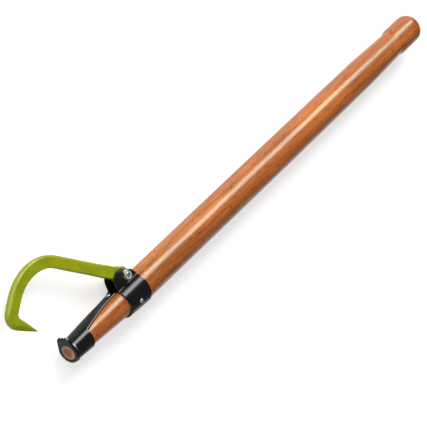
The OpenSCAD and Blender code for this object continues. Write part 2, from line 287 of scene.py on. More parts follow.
class Finish:
    """A new material with its shader and the coordinates of the piece it is on."""

    def __init__(self, name):
        self.material = bpy.data.materials.new(name)
        self.material.use_nodes = True
        self.tree = self.material.node_tree
        self.shader = self.tree.nodes["Principled BSDF"]
        self.place = self.tree.nodes.new("ShaderNodeTexCoord").outputs["Object"]

    def node(self, kind, **settings):
        made = self.tree.nodes.new(kind)
        for setting, value in settings.items():
            setattr(made, setting, value)
        return made

    def link(self, source, target):
        self.tree.links.new(source, target)

    def stretched(self, scale, shift=(0, 0, 0)):
        mapping = self.node("ShaderNodeMapping")
        mapping.inputs["Scale"].default_value = scale
        mapping.inputs["Location"].default_value = shift
        self.link(self.place, mapping.inputs["Vector"])
        return mapping.outputs["Vector"]

    def noise(self, vector, scale, detail=4, roughness=0.55, distortion=0):
        made = self.node("ShaderNodeTexNoise")
        made.inputs["Scale"].default_value = scale
        made.inputs["Detail"].default_value = detail
        made.inputs["Roughness"].default_value = roughness
        made.inputs["Distortion"].default_value = distortion
        self.link(vector, made.inputs["Vector"])
        return made.outputs["Fac"]

    def ramp(self, factor, *stops):
        made = self.node("ShaderNodeValToRGB")
        elements = made.color_ramp.elements
        while len(elements) < len(stops):
            elements.new(1)
        for element, (position, colour) in zip(elements, stops):
            element.position = position
            element.color = (*colour, 1)
        self.link(factor, made.inputs["Fac"])
        return made.outputs["Color"]

    def calculate(self, operation, *values):
        made = self.node("ShaderNodeMath", operation=operation)
        for socket, value in zip(made.inputs, values):
            if isinstance(value, (int, float)):
                socket.default_value = value
            else:
                self.link(value, socket)
        return made.outputs["Value"]

    def blend(self, mode, factor, a, b):
        made = self.node("ShaderNodeMix", data_type="RGBA", blend_type=mode)
        if isinstance(factor, (int, float)):
            made.inputs["Factor"].default_value = factor
        else:
            self.link(factor, made.inputs["Factor"])
        self.link(a, made.inputs["A"])
        self.link(b, made.inputs["B"])
        return made.outputs["Result"]

    def spread(self, factor, low, high):
        made = self.node("ShaderNodeMapRange")
        made.inputs["From Min"].default_value = NOISE_LOW
        made.inputs["From Max"].default_value = NOISE_HIGH
        made.inputs["To Min"].default_value = low
        made.inputs["To Max"].default_value = high
        self.link(factor, made.inputs["Value"])
        return made.outputs["Result"]

    def bump(self, height, strength, distance):
        made = self.node("ShaderNodeBump")
        made.inputs["Strength"].default_value = strength
        made.inputs["Distance"].default_value = distance
        self.link(height, made.inputs["Height"])
        self.link(made.outputs["Normal"], self.shader.inputs["Normal"])
        self.link(made.outputs["Normal"], self.shader.inputs["Coat Normal"])

    def set(self, **values):
        for name, value in values.items():
            self.shader.inputs[name.replace("_", " ")].default_value = value


def lacquered_wood():
    """Orange-brown hardwood under clear lacquer, with its grain along the handle."""
    wood = Finish("lacquered_wood")
    streaks = wood.noise(wood.stretched((2.6, 62, 62)), 1.6, detail=6, roughness=0.62, distortion=0.5)
    fibres = wood.noise(wood.stretched((16, 800, 800)), 1, detail=3, roughness=0.6)
    flecks = wood.noise(wood.stretched((85, 300, 300), (7, 3, 5)), 1, detail=2, roughness=0.5)
    patches = wood.noise(wood.stretched((9, 26, 26), (3, 1, 2)), 1, detail=3)
    body = wood.ramp(
        streaks,
        (0.30, (0.28, 0.062, 0.010)),
        (0.44, (0.48, 0.122, 0.016)),
        (0.56, (0.60, 0.170, 0.022)),
        (0.72, (0.70, 0.235, 0.036)),
    )
    pores = wood.ramp(fibres, (0.34, (0.55, 0.48, 0.42)), (0.50, (1, 1, 1)))
    dark = wood.ramp(flecks, (0.30, (0.30, 0.20, 0.14)), (0.40, (1, 1, 1)))
    cloud = wood.ramp(patches, (0.3, (0.80, 0.74, 0.70)), (0.7, (1.06, 1.02, 1)))
    grain = wood.blend("MULTIPLY", 0.8, wood.blend("MULTIPLY", 0.7, body, pores), dark)
    wood.link(wood.blend("MULTIPLY", 1, grain, cloud), wood.shader.inputs["Base Color"])
    wood.link(wood.spread(fibres, 0.40, 0.26), wood.shader.inputs["Roughness"])
    wood.set(Specular_IOR_Level=0.7, Specular_Tint=(0.6, 0.78, 0.33, 1))
    wood.set(Coat_Weight=0.55, Coat_Roughness=0.26, Coat_IOR=1.85)
    wood.bump(fibres, 0.35, 0.0004)
    return wood.material


def end_grain():
    """The pale sawn end of the wood, with rings round a dark heart."""
    wood = Finish("end_grain")
    across = wood.stretched((0, 1, 1), (0, -0.0012, 0.0010))
    length = wood.node("ShaderNodeVectorMath", operation="LENGTH")
    wobble = wood.noise(wood.stretched((1, 1, 1)), 90, detail=3)
    wood.link(across, length.inputs[0])
    wobble_reach = 0.0022
    ring_waves = 2600
    tones_over = 0.02
    reach = wood.calculate("MULTIPLY_ADD", wobble, wobble_reach, length.outputs["Value"])
    rings = wood.calculate("SINE", wood.calculate("MULTIPLY", reach, ring_waves))
    tone = wood.ramp(
        wood.calculate("DIVIDE", reach, tones_over),
        (0.08, (0.16, 0.030, 0.010)),
        (0.20, (0.40, 0.120, 0.042)),
        (0.30, (0.46, 0.215, 0.092)),
        (0.375, (0.15, 0.060, 0.022)),
        (0.45, (0.42, 0.220, 0.100)),
        (0.70, (0.47, 0.250, 0.125)),
        (0.82, (0.78, 0.530, 0.290)),
    )
    ring_height = wood.calculate("MULTIPLY_ADD", rings, 0.5, 0.5)
    lines = wood.ramp(ring_height, (0, (0.70, 0.64, 0.60)), (0.7, (1, 1, 1)))
    wood.link(wood.blend("MULTIPLY", 0.7, tone, lines), wood.shader.inputs["Base Color"])
    wood.link(wood.spread(wobble, 0.6, 0.75), wood.shader.inputs["Roughness"])
    wood.set(Specular_IOR_Level=0.3)
    wood.bump(rings, 0.2, 0.0002)
    return wood.material


def gloss_black():
    """Gloss black paint with a faint orange peel."""
    paint = Finish("gloss_black_paint")
    peel = paint.noise(paint.stretched((1, 1, 1)), 900, detail=2)
    cloud = paint.noise(paint.stretched((1, 1, 1)), 35, detail=4)
    colour = paint.ramp(cloud, (0.3, (0.0015, 0.0015, 0.0016)), (0.7, (0.0040, 0.0040, 0.0042)))
    paint.link(colour, paint.shader.inputs["Base Color"])
    paint.link(paint.spread(cloud, 0.17, 0.27), paint.shader.inputs["Roughness"])
    paint.set(Specular_IOR_Level=0.1, Coat_Weight=0.38, Coat_Roughness=0.2, Coat_IOR=2.0)
    paint.bump(peel, 0.10, 0.0002)
    return paint.material


def gloss_lime():
    """Gloss lime paint over a forging that isn't quite even."""
    paint = Finish("gloss_lime_paint")
    peel = paint.noise(paint.stretched((1, 1, 1)), 700, detail=2)
    forging = paint.noise(paint.stretched((1, 1, 1)), 42, detail=4)
    colour = paint.ramp(
        forging,
        (0.3, (0.285, 0.330, 0.0012)),
        (0.5, (0.335, 0.385, 0.0018)),
        (0.7, (0.390, 0.430, 0.0030)),
    )
    paint.link(colour, paint.shader.inputs["Base Color"])
    paint.link(paint.spread(forging, 0.32, 0.22), paint.shader.inputs["Roughness"])
    paint.set(Specular_IOR_Level=0.55)
    forging_share, peel_share = 4, 0.25
    uneven = paint.calculate("MULTIPLY", forging, forging_share)
    paint.bump(paint.calculate("MULTIPLY_ADD", peel, peel_share, uneven), 0.25, 0.0004)
    return paint.material


def bright_zinc():
    """Bright zinc plating, a little cloudy."""
    zinc = Finish("bright_zinc")
    cloud = zinc.noise(zinc.stretched((1, 1, 1)), 260, detail=5)
    scuffs = zinc.noise(zinc.stretched((300, 300, 2500)), 1, detail=3)
    colour = zinc.ramp(cloud, (0.3, (0.60, 0.61, 0.63)), (0.7, (0.78, 0.78, 0.77)))
    zinc.link(colour, zinc.shader.inputs["Base Color"])
    zinc.link(zinc.spread(cloud, 0.2, 0.38), zinc.shader.inputs["Roughness"])
    zinc.set(Metallic=1)
    zinc.bump(scuffs, 0.08, 0.0001)
    return zinc.material


def pale_nylon():
    """Natural nylon, slightly waxy."""
    nylon = Finish("pale_nylon")
    cloud = nylon.noise(nylon.stretched((1, 1, 1)), 400, detail=3)
    colour = nylon.ramp(cloud, (0.3, (0.66, 0.65, 0.58)), (0.7, (0.78, 0.77, 0.70)))
    nylon.link(colour, nylon.shader.inputs["Base Color"])
    nylon.link(nylon.spread(cloud, 0.38, 0.5), nylon.shader.inputs["Roughness"])
    nylon.bump(cloud, 0.05, 0.0001)
    return nylon.material


WOOD = lacquered_wood()
END_GRAIN = end_grain()
BLACK = gloss_black()
LIME = gloss_lime()
ZINC = bright_zinc()
NYLON = pale_nylon()


# Shape helpers


def chain(shape, points, closed=False):
    """Vertices through the points, joined by edges; returns both."""
    verts = [shape.verts.new(point) for point in points]
    ends = verts[1:] + verts[:1] if closed else verts[1:]
    edges = [shape.edges.new(pair) for pair in zip(verts, ends)]
    return verts, edges


def vertices_in(parts):
    return [part for part in parts if isinstance(part, bmesh.types.BMVert)]


def spin_round(shape, geom, axis, steps):
    bmesh.ops.spin(
        shape, geom=geom, cent=(0, 0, 0), axis=axis, angle=FULL_TURN, steps=steps, use_merge=True
    )


def lathe(outline, axis, steps):
    """Spins an outline of places and radii about the X or the Z axis, and closes its poles."""
    shape = bmesh.new()
    points = [(along, r, 0) if axis == "X" else (r, 0, along) for along, r in outline]
    verts, edges = chain(shape, points)
    turn = (1, 0, 0) if axis == "X" else (0, 0, 1)
    spin_round(shape, verts + edges, turn, steps)
    bmesh.ops.remove_doubles(shape, verts=shape.verts, dist=MERGE_DIST)
    return shape


def pull(shape, edges, moved):
    """Extrudes edges and puts each new vertex where moved says; returns the new edges."""
    made = bmesh.ops.extrude_edge_only(shape, edges=edges)["geom"]
    fresh = set(vertices_in(made))
    for vert in fresh:
        vert.co = moved(vert.co)
    edges_made = [part for part in made if isinstance(part, bmesh.types.BMEdge)]
    return [edge for edge in edges_made if fresh.issuperset(edge.verts)]


def finished(name, shape, finish, stands_for=(), body="tool", sharp_angle=35):
    """Puts a shape in metres and makes it a piece that rides on its body."""
    bmesh.ops.remove_doubles(shape, verts=shape.verts, dist=MERGE_DIST)
    bmesh.ops.recalc_face_normals(shape, faces=shape.faces)
    bmesh.ops.scale(shape, vec=(MM, MM, MM), verts=shape.verts)
    mesh = bpy.data.meshes.new(name)
    shape.to_mesh(mesh)
    shape.free()
    mesh.shade_smooth()
    mesh.set_sharp_from_angle(angle=math.radians(sharp_angle))
    mesh.materials.append(finish)
    piece = bpy.data.objects.new(name, mesh)
    bpy.context.collection.objects.link(piece)
    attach(piece, body)
    if stands_for:
        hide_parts(*stands_for)
    return piece


def thicken(piece, wall):
    wall_maker = piece.modifiers.new("wall", "SOLIDIFY")
    wall_maker.thickness = wall * MM
    wall_maker.offset = -1
    wall_maker.use_even_offset = True


def ease_edges(piece, width, angle=40, segments=3):
    rounding = piece.modifiers.new("eased_edges", "BEVEL")
    rounding.width = width * MM
    rounding.segments = segments
    rounding.limit_method = "ANGLE"
    rounding.angle_limit = math.radians(angle)
    rounding.harden_normals = True


# The pieces of the tool


def make_handle():
    outline = [
        (0, 0),
        (0, TENON_R - TENON_CHAMFER),
        (TENON_CHAMFER, TENON_R),
        (PLATE_T + SEAT_GAP, TENON_R),
        (PLATE_T + SEAT_GAP, wood_r(PLATE_T + SEAT_GAP)),
    ]
    taper_rings = steps_between(TAPER_RINGS_FROM, TAPER_RINGS_END, STRAIGHT_RINGS)
    outline += [(x, wood_r(x)) for x in taper_rings]
    outline.append((SHOULDER_START, wood_r(SHOULDER_START) - SHOULDER_FALL))
    outline.append((SHOULDER_END, HANDLE_R))
    pole_rings = steps_between(POLE_RINGS_FROM, POLE_RINGS_END, STRAIGHT_RINGS)
    outline += [(x, HANDLE_R) for x in pole_rings]
    for f in steps_between(0, 1, CURVE_RINGS):
        narrowed = 1 - math.cos(f * math.pi / 2)
        outline.append((mix(BELLY_START, NECK_START, f), mix(HANDLE_R, HIP_R, narrowed)))
    for f in steps_between(0, 1, CURVE_RINGS)[1:-1]:
        outline.append((mix(NECK_START, COVE_START, f), mix(HIP_R, NECK_R, f)))
    for f in steps_between(0, 1, COVE_RINGS):
        outline.append((mix(COVE_START, KNOB_START, f), mix(NECK_R, KNOB_R, smooth(f))))
    outline.append((mix(KNOB_START, DOME_START, 0.5), KNOB_R))
    dome_len = HANDLE_LEN - DOME_START
    for f in steps_between(0, 1, CURVE_RINGS):
        angle = f * math.pi / 2
        dome_r = mix(BUTT_FLAT_R, KNOB_R, math.cos(angle))
        outline.append((DOME_START + dome_len * math.sin(angle), dome_r))
    outline.append((HANDLE_LEN, 0))
    shape = lathe(outline, "X", HANDLE_STEPS)
    for face in shape.faces:
        face.material_index = 1 if face.calc_center_median().x < TENON_CHAMFER else 0
    piece = finished("turned_handle", shape, WOOD, ["handle"])
    piece.data.materials.append(END_GRAIN)


def make_toe_sleeve():
    rings = steps_between(PLATE_T, RING_END, SLEEVE_RINGS)
    shape = lathe([(x, sleeve_r(x)) for x in rings], "X", RING_STEPS)
    root_angle = STRAP_COLUMNS * FULL_TURN / RING_STEPS
    root_half = sleeve_r(RING_END) * math.sin(root_angle)

    def belongs_to_strap(co):
        return co.x > RING_END - NEAR and co.y > 0 and abs(co.z) < root_half + NEAR

    corner_x = RING_END + STRAP_CORNER_R
    rows = []
    for angle in steps_between(math.pi, STRAP_CORNER_END, CORNER_ROWS)[1:]:
        x = corner_x + STRAP_CORNER_R * math.cos(angle)
        rows.append((x, root_half + STRAP_CORNER_R * math.sin(angle)))
    last_x, last_half = rows[-1]
    for f in steps_between(0, 1, FLARE_ROWS)[1:]:
        rows.append((mix(last_x, STRAP_FLARE_END, f), mix(last_half, STRAP_HALF, f)))
    for x in steps_between(STRAP_FLARE_END, STRAP_END, STRAP_ROWS)[1:]:
        rows.append((x, STRAP_HALF))
    edges = [edge for edge in shape.edges if all(belongs_to_strap(vert.co) for vert in edge.verts)]
    half_before = root_half
    for x, half in rows:
        def on_strap(co, x=x, half=half, before=half_before):
            z = co.z * half / before
            flat_z = min(abs(z), half - STRAP_EDGE_W)
            y = math.sqrt(sleeve_r(x) ** 2 - flat_z ** 2) - STRAP_EDGE_FALL * (abs(z) - flat_z)
            return Vector((x, y, z))
        edges = pull(shape, edges, on_strap)
        half_before = half
    made = bmesh.ops.extrude_face_region(shape, geom=shape.faces[:])["geom"]
    for vert in vertices_in(made):
        inner_r = sleeve_r(vert.co.x) - SLEEVE_WALL
        if belongs_to_strap(vert.co):
            vert.co.y = math.sqrt(inner_r ** 2 - vert.co.z ** 2)
        else:
            vert.co.yz = vert.co.yz.normalized() * inner_r
    piece = finished("toe_sleeve_and_strap", shape, BLACK, ["toe_sleeve"])
    ease_edges(piece, SLEEVE_EASE, angle=50)


def make_toe_plate():
    plate_r = sleeve_r(PLATE_T)
    row_half = TEETH * TOOTH_PITCH / 2
    corner = Vector((TOOTH_ROOT_Y, row_half))
    tangent = math.atan2(corner.y, corner.x) + math.acos(plate_r / corner.length)
    round_angles = steps_between(tangent, FULL_TURN - tangent, PLATE_STEPS)
    outer = [plate_r * ahead(angle) for angle in round_angles]
    far_corner = Vector((TOOTH_ROOT_Y, -row_half))
    outer += [outer[-1].lerp(far_corner, f) for f in PLATE_FLANK_STOPS]
    for tooth in range(TEETH):
        middle = (tooth + 0.5) * TOOTH_PITCH - row_half
        outer.append(Vector((TOOTH_GAP_Y if tooth else TOOTH_ROOT_Y, middle - TOOTH_PITCH / 2)))
        outer.append(Vector((TOOTH_TIP_Y, middle - TOOTH_FLAT / 2)))
        outer.append(Vector((TOOTH_TIP_Y, middle + TOOTH_FLAT / 2)))
    outer += [corner] + [corner.lerp(outer[0], 1 - f) for f in reversed(PLATE_FLANK_STOPS)]
    hole_r = TENON_R + SEAT_GAP
    inner = [hole_r * point.normalized() for point in outer]
    shape = bmesh.new()
    loops = [chain(shape, [(0, p.x, p.y) for p in loop], closed=True)[1] for loop in (outer, inner)]
    bmesh.ops.bridge_loops(shape, edges=loops[0] + loops[1])
    made = bmesh.ops.extrude_face_region(shape, geom=shape.faces[:])["geom"]
    bmesh.ops.translate(shape, vec=(PLATE_T, 0, 0), verts=vertices_in(made))
    piece = finished("toothed_toe_plate", shape, BLACK, ["toe_plate"])
    ease_edges(piece, PLATE_EASE, angle=30, segments=2)


def make_weld():
    """The bead between the plate and the sleeve, rippled as it was laid."""
    shape = bmesh.new()
    centre = Vector((PLATE_T + WELD_FORWARD, sleeve_r(PLATE_T) + WELD_RISE, 0))
    bead = bmesh.ops.create_circle(shape, segments=WELD_SIDES, radius=WELD_R)
    bmesh.ops.translate(shape, vec=centre, verts=bead["verts"])
    spin_round(shape, bead["verts"] + shape.edges[:], (1, 0, 0), WELD_RIPPLES * STEPS_PER_RIPPLE)
    glint_verts = set()
    for vert in shape.verts:
        angle = math.atan2(vert.co.z, vert.co.y)
        spoke = Vector((0, math.cos(angle), math.sin(angle)))
        middle = spoke * centre.y + Vector((centre.x, 0, 0))
        ripple = RIPPLE_SWELL * math.sin(angle * WELD_RIPPLES)
        wave = WAVE_SWELL * math.sin(angle * WAVES + 1)
        vert.co = middle + (vert.co - middle) * (1 + ripple + wave)
        # Faces in these arcs take bare zinc, a painted highlight where the bead shows a glint
        if any(start < math.degrees(angle) < end for start, end in WELD_GLINT_ARCS):
            glint_verts.add(vert)
    for face in shape.faces:
        face.material_index = 1 if glint_verts.issuperset(face.verts) else 0
    piece = finished("toe_weld", shape, BLACK, sharp_angle=80)
    piece.data.materials.append(ZINC)


def ear_loop():
    """The ear's outline above its bend, from its toe foot along the bend and over the top."""
    left, right = COLLAR_X + EAR_EDGE_INSET, COLLAR_END - EAR_EDGE_INSET
    foot = [Vector((x, bend_centre(x)[0])) for x in steps_between(left, right, FOOT_COLUMNS)]
    fall = (EAR_HEEL - EAR_TOP).normalized()
    edge_angle = math.atan2(fall.x, -fall.y)
    heel_start = tangent_angle(foot[-1], EAR_HEEL, 1)
    top_end = tangent_angle(foot[0], EAR_TOP, -1) + FULL_TURN
    points = foot
    heel_angles = steps_between(heel_start, edge_angle, EAR_HEEL_STEPS)
    points += [EAR_HEEL + EAR_R * ahead(angle) for angle in heel_angles]
    top_start = EAR_TOP + EAR_R * ahead(edge_angle)
    points += [points[-1].lerp(top_start, f) for f in steps_between(0, 1, EAR_EDGE_STEPS)[1:-1]]
    top_angles = steps_between(edge_angle, top_end, EAR_TOP_STEPS)
    points += [EAR_TOP + EAR_R * ahead(angle) for angle in top_angles]
    points.append(points[-1].lerp(foot[0], 0.5))
    return points


def tangent_angle(start, centre, turn):
    away = start - centre
    return math.atan2(away.y, away.x) + turn * math.acos(EAR_R / away.length)


def bend_centre(x):
    """Height and width of the middle of the bend between the band and an ear."""
    reach = band_r(x) + EAR_BEND_R
    z = EAR_Z + EAR_BEND_R
    return math.sqrt(reach ** 2 - z ** 2), z


def make_collar():
    shape = bmesh.new()
    outline = ear_loop()
    edges = chain(shape, [(p.x, p.y, EAR_Z) for p in outline], closed=True)[1]
    hole = []
    for point in outline:
        spot = PIVOT + (BOLT_R + EAR_HOLE_GAP) * (point - PIVOT).normalized()
        hole.append((spot.x, spot.y, EAR_Z))
    hole_edges = chain(shape, hole, closed=True)[1]
    bmesh.ops.bridge_loops(shape, edges=edges + hole_edges)
    rim = edges[:FOOT_COLUMNS]
    for f in steps_between(0, 1, EAR_BEND_STEPS)[1:]:
        def round_bend(co, f=f):
            y, z = bend_centre(co.x)
            angle = mix(1.5 * math.pi, math.pi + math.atan2(z, y), f)
            return Vector((co.x, y + EAR_BEND_R * math.cos(angle), z + EAR_BEND_R * math.sin(angle)))
        rim = pull(shape, rim, round_bend)
    for f in steps_between(0, 1, BAND_STEPS)[1:]:
        def round_handle(co, f=f):
            y, z = bend_centre(co.x)
            angle = mix(math.atan2(z, y), math.pi, f)
            return Vector((co.x, band_r(co.x) * math.cos(angle), band_r(co.x) * math.sin(angle)))
        rim = pull(shape, rim, round_handle)
    half = shape.verts[:] + shape.edges[:] + shape.faces[:]
    bmesh.ops.mirror(shape, geom=half, merge_dist=NEAR, axis="Z")
    piece = finished("clevis_collar", shape, BLACK, ["collar"])
    thicken(piece, COLLAR_T)
    ease_edges(piece, COLLAR_EASE, segments=4)


def hook_path():
    """Sections of the bar from its eye on: edge points, thickness, share of forging, lean and facet."""

    def square(place, angle, width, thickness, forged, lean, facet):
        half = width / 2 * inward(angle)
        return place - half, place + half, thickness, forged, lean, facet

    sections = []
    arm_rows = steps_between(ARM_FROM, THIN_END, THIN_ROWS)
    arm_rows += steps_between(THIN_END, ARM_LEN, ARM_ROWS)[1:]
    for along in arm_rows:
        thin = smooth(min(1, max(0, (along - THIN_START) / (THIN_END - THIN_START))))
        place = PIVOT + along * ahead(ARM_ANGLE)
        thickness = mix(HOOK_T, BAR_T, thin)
        sections.append(square(place, ARM_ANGLE, ARM_W, thickness, thin, ARM_LEAN * thin, 0))
    centre = place + BEND_R * inward(ARM_ANGLE)
    for f in steps_between(0, 1, BEND_ROWS)[1:]:
        shank_angle = ARM_ANGLE + BEND_TURN * f
        place = centre - BEND_R * inward(shank_angle)
        width = mix(ARM_W, SHANK_W, smooth(f))
        lean = mix(ARM_LEAN, SHANK_LEAN, f)
        sections.append(square(place, shank_angle, width, BAR_T, 1, lean, 0))
    shank_middle = place + SHANK_LEN / 2 * ahead(shank_angle)
    sections.append(square(shank_middle, shank_angle, SHANK_W, BAR_T, 1, SHANK_LEAN, 0))
    point_angle = shank_angle + HEEL_TURN
    centre = place + SHANK_LEN * ahead(shank_angle) + HEEL_R * inward(shank_angle)
    # The heel's inner corner is an arc that touches the inner edges of the shank and of the point
    skew = math.cos(HEEL_TURN)
    shank_reach = SHANK_W / 2 + HEEL_INNER_R - HEEL_R
    point_start_w = mix(POINT_W, TIP_W, POINT_FROM ** POINT_SWELL)
    point_reach = point_start_w / 2 + HEEL_INNER_R - HEEL_R
    inner_centre = centre + (shank_reach - skew * point_reach) / (1 - skew ** 2) * inward(shank_angle)
    inner_centre += (point_reach - skew * shank_reach) / (1 - skew ** 2) * inward(point_angle)
    for f in steps_between(0, 1, HEEL_ROWS):
        spoke = inward(shank_angle + HEEL_TURN * f)
        outer_r = HEEL_R + mix(SHANK_W, POINT_W, smooth(f)) / 2
        facet = HEEL_FACET * smooth(max(0, f - HEEL_FACET_START) / (1 - HEEL_FACET_START))
        outer, inner = centre - outer_r * spoke, inner_centre - HEEL_INNER_R * spoke
        sections.append((outer, inner, BAR_T, 1, mix(SHANK_LEAN, POINT_LEAN, f), facet))
    start = centre - HEEL_R * inward(point_angle)
    for f in steps_between(POINT_FROM, 1, POINT_ROWS):
        slim = f ** POINT_SWELL
        facet = mix(HEEL_FACET, 1, f ** FACET_GROWTH)
        place = start + POINT_LEN * f * ahead(point_angle)
        width, thickness = mix(POINT_W, TIP_W, slim), mix(BAR_T, TIP_T, slim)
        sections.append(square(place, point_angle, width, thickness, 1, POINT_LEAN, facet))
    return sections


def bar_section(outer, inner, thickness, forged, lean, facet):
    """Corners of the bar's section: sloped sides, a broad outer edge, a small inner one, tip facets."""
    width = (inner - outer).length
    across = (inner - outer) / width
    slope = SIDE_SLOPE * lean * (1 - facet)

    def side_z(u):
        return thickness / 2 + slope * (u - SIDE_SLOPE_PIVOT * width)

    def edge(cut, flatness, share, facet_w):
        """How far a cut edge's points lie in from the bar's narrow face and down from its side."""
        cut_w = mix(cut, facet_w * width, share)
        cut_t = mix(cut, TIP_FACET * thickness, share)
        flat = mix(flatness, 1, share)
        points = []
        for f in steps_between(0, 1, EDGE_STEPS):
            angle = f * math.pi / 2
            inset = cut_w * (1 - mix(math.sin(angle), f, flat))
            drop = cut_t * (1 - mix(math.cos(angle), 1 - f, flat))
            points.append((inset, drop))
        return points

    outer_edge = edge(mix(EYE_EDGE_R, OUTER_CUT, forged), OUTER_FLATNESS * forged, facet, OUTER_FACET_W)
    inner_edge = edge(mix(EYE_EDGE_R, INNER_CUT, forged), 0, facet, INNER_FACET_W)
    from_u, to_u = outer_edge[0][0], width - inner_edge[0][0]
    upper = [(u, side_z(u)) for u in steps_between(from_u, to_u, SIDE_STRIPS)]
    upper += [(u, side_z(from_u) - drop) for u, drop in outer_edge[1:]]
    upper += [(width - u, side_z(to_u) - drop) for u, drop in inner_edge[1:]]
    outline = upper + [(u, -z) for u, z in upper]
    return [Vector((outer.x + u * across.x, outer.y + u * across.y, z)) for u, z in outline]


def make_hook():
    along, across = ahead(ARM_ANGLE), inward(ARM_ANGLE)

    def eye_outline(inset):
        """The eye's outline from one side of the arm round to the other, in from its edge by inset."""
        half, r, fillet = ARM_W / 2 - inset, EYE_R - inset, EYE_FILLET_R + inset
        fillet_v = half + fillet
        fillet_u = math.sqrt((r + fillet) ** 2 - fillet_v ** 2)
        meet = math.atan2(fillet_v, fillet_u)
        side = [Vector((ARM_FROM, half)), Vector((mix(ARM_FROM, fillet_u, 0.5), half))]
        for angle in steps_between(-math.pi / 2, meet - math.pi, FILLET_STEPS):
            side.append(Vector((fillet_u, fillet_v)) + fillet * ahead(angle))
        eye_angles = steps_between(meet, FULL_TURN - meet, EYE_STEPS)[1:-1]
        round_end = [r * ahead(angle) for angle in eye_angles]
        return side + round_end + [Vector((p.x, -p.y)) for p in reversed(side)]

    def placed(point, z):
        spot = PIVOT + point.x * along + point.y * across
        return Vector((spot.x, spot.y, z))

    shape = bmesh.new()
    top = HOOK_T / 2
    quarter = steps_between(0, math.pi / 2, EDGE_STEPS)
    levels = [(EYE_EDGE_R * (1 - math.sin(a)), top - EYE_EDGE_R * (1 - math.cos(a))) for a in quarter]
    levels += [(inset, -z) for inset, z in reversed(levels)]
    arm_half = ARM_W / 2 - EYE_EDGE_R
    arm_end = [Vector((ARM_FROM, v)) for v in steps_between(-arm_half, arm_half, SIDE_STRIPS)[1:-1]]
    rounds = [chain(shape, [placed(p, z) for p in eye_outline(inset)]) for inset, z in levels]
    for above, below in zip(rounds, rounds[1:]):
        bmesh.ops.bridge_loops(shape, edges=above[1] + below[1])
    bores = []
    for (verts, edges), (inset, z) in ((rounds[0], levels[0]), (rounds[-1], levels[-1])):
        middle = [shape.verts.new(placed(p, z)) for p in arm_end]
        row = [verts[-1]] + middle + [verts[0]]
        closing = [shape.edges.new(pair) for pair in zip(row, row[1:])]
        outline = eye_outline(inset) + arm_end
        bore = chain(shape, [placed(EYE_BORE_R * p.normalized(), z) for p in outline], closed=True)[1]
        bmesh.ops.bridge_loops(shape, edges=edges + closing + bore)
        bores += bore
    bmesh.ops.bridge_loops(shape, edges=bores)
    rim = [edge for edge in shape.edges if edge.is_boundary]
    sections = [bar_section(*section) for section in hook_path()]
    for before, after in zip(sections, sections[1:]):
        def next_corner(co, before=before, after=after):
            nearest = min(range(len(before)), key=lambda i: (before[i] - co).length_squared)
            return after[nearest]
        rim = pull(shape, rim, next_corner)
    bmesh.ops.edgeloop_fill(shape, edges=rim)
    finished("forged_hook", shape, LIME, ["hook"], body="hook", sharp_angle=28)


def hexagon(shape, flat_top):
    """Makes the marked rings of a spun shape a hexagon, with its corners chamfered at flat_top."""
    for vert in shape.verts:
        if abs(vert.co.xy.length - HEX_MARK_R) < NEAR:
            angle = math.atan2(vert.co.y, vert.co.x)
            reach = HEX_FLAT_R / math.cos(angle % (math.pi / 3) - math.pi / 6)
            drop = (reach - HEX_FLAT_R) * math.tan(math.radians(30))
            z = vert.co.z - drop if abs(vert.co.z - flat_top) < NEAR else vert.co.z
            vert.co = Vector((reach * math.cos(angle), reach * math.sin(angle), z))


def make_bolt():
    outline = [
        (HEAD_H, 0),
        (HEAD_H, HEAD_TOP_R),
        (HEAD_H, HEX_MARK_R),
        (WASHER_H, HEX_MARK_R),
        (WASHER_H, WASHER_R),
        (0, WASHER_FOOT_R),
        (0, BOLT_R),
    ]
    bolt_end = -(2 * EAR_Z + NUT_H + CROWN_H)
    outline += [(bolt_end + back, BOLT_R - fall) for back, fall in BOLT_TIP]
    outline.append((bolt_end, 0))
    shape = lathe(outline, "Z", HEX_STEPS)
    hexagon(shape, HEAD_H)
    bmesh.ops.rotate(shape, cent=(0, 0, 0), matrix=Matrix.Rotation(math.pi, 3, "X"), verts=shape.verts)
    bmesh.ops.translate(shape, vec=(PIVOT.x, PIVOT.y, -EAR_Z), verts=shape.verts)
    piece = finished("pivot_bolt_hexagon", shape, ZINC, ["pivot_bolt"], sharp_angle=25)
    ease_edges(piece, BOLT_EASE, angle=25, segments=2)


def make_nut():
    bore = BOLT_R + THREAD_GAP
    top = NUT_H + CROWN_H
    groove_low, groove_high = INSERT_Z - INSERT_GAP, INSERT_Z + INSERT_H + INSERT_GAP
    outline = [
        (NUT_LEAD, bore),
        (0, bore + NUT_LEAD),
        (0, NUT_SEAT_R),
        (NUT_FOOT_H, NUT_FOOT_R),
        (NUT_FOOT_H, HEX_MARK_R),
        (NUT_H, HEX_MARK_R),
        (NUT_H, CROWN_R),
    ]
    outline += [(top - back, CROWN_R - fall) for back, fall in CROWN_EDGE]
    outline += [
        (top, INSERT_R - CROWN_LIP),
        (groove_high, INSERT_R - CROWN_LIP),
        (groove_high, INSERT_R + THREAD_GAP),
        (groove_low, INSERT_R + THREAD_GAP),
        (groove_low, bore),
        (NUT_LEAD, bore),
    ]
    shape = lathe(outline, "Z", HEX_STEPS)
    hexagon(shape, NUT_H)
    bmesh.ops.translate(shape, vec=(PIVOT.x, PIVOT.y, EAR_Z), verts=shape.verts)
    piece = finished("lock_nut", shape, ZINC, ["pivot_nut"], sharp_angle=25)
    ease_edges(piece, NUT_EASE, angle=25, segments=2)


